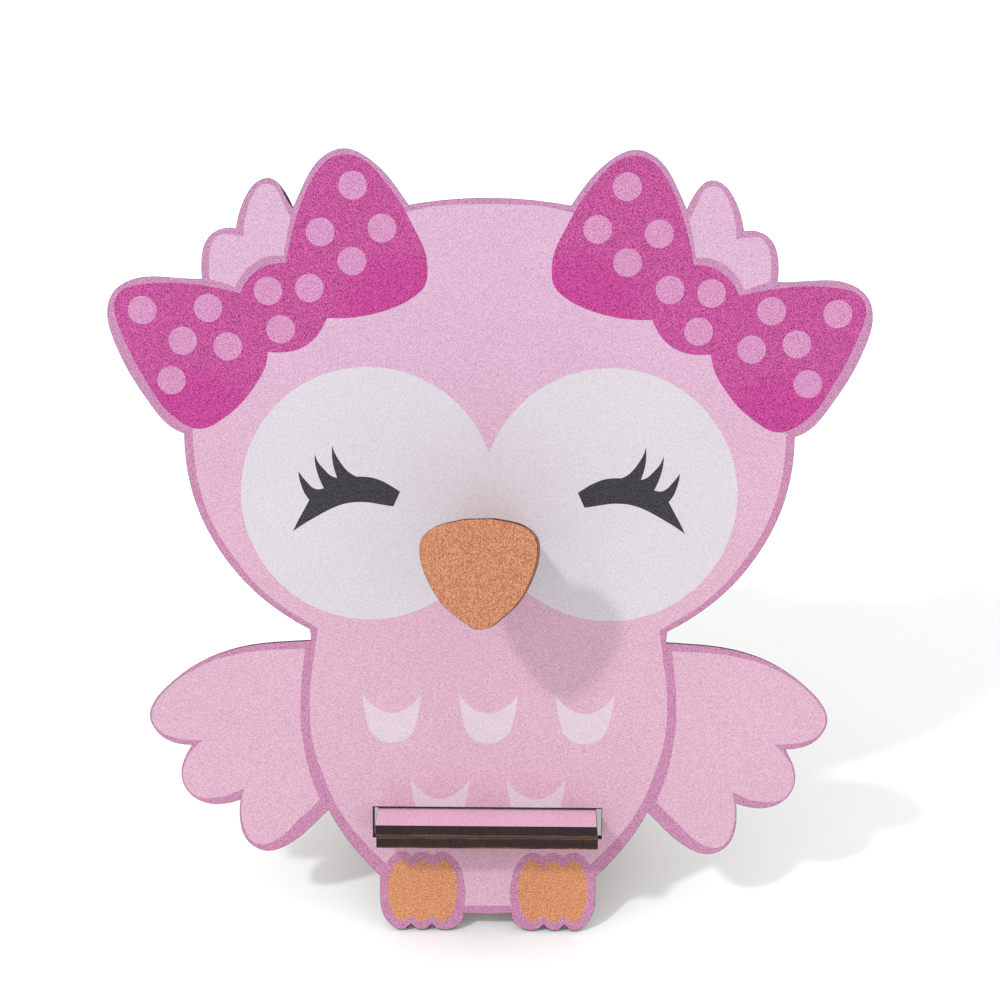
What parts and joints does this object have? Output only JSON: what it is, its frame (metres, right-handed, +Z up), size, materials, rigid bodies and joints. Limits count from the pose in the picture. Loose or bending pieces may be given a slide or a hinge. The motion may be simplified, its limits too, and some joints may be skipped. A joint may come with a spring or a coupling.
{
  "type": "eyeglasses display stand",
  "caption": "Flat-pack owl-shaped board leaning back on a slotted base, with a nose-like arm and beak that hold eyeglasses by the bridge.",
  "frame": {"origin": "on the ground, under the middle of the whole stand's bounding box", "axes": "+Z up; the owl faces -Y, so +X is to the right of someone looking at its printed face; the base runs back towards +Y"},
  "size_m": [0.1442, 0.0964, 0.1497],
  "materials": {
    "printed_panel": "matte UV print in pinks on hardboard, charred laser-cut edges, bare brown back",
    "printed_base": "matte pink print on hardboard, charred laser-cut edges",
    "printed_arm": "matte orange print on hardboard, charred laser-cut edges",
    "printed_beak": "matte orange print on hardboard, charred laser-cut edges",
    "raw_board": "bare brown hardboard with charred laser-cut edges",
    "glue": "dried wood glue"
  },
  "bodies": {
    "panel": {"front_panel": "printed_panel"},
    "base": {"base_upper_board": "printed_base", "base_glue_line": "glue", "base_lower_board": "raw_board"},
    "nose": {"nose_arm_upper_board": "printed_arm", "nose_arm_glue_line": "glue", "nose_arm_lower_board": "raw_board", "beak_front_board": "printed_beak", "beak_glue_line": "glue", "beak_back_board": "raw_board"}
  },
  "joints": [
    {"name": "base_slide", "type": "slide", "parent": "panel", "child": "base", "axis": [0, 0.9703, -0.2419], "range_m": [0, 0.0125]},
    {"name": "nose_slide", "type": "slide", "parent": "panel", "child": "nose", "axis": [0, -0.9703, 0.2419], "range_m": [0, 0.003]}
  ]
}
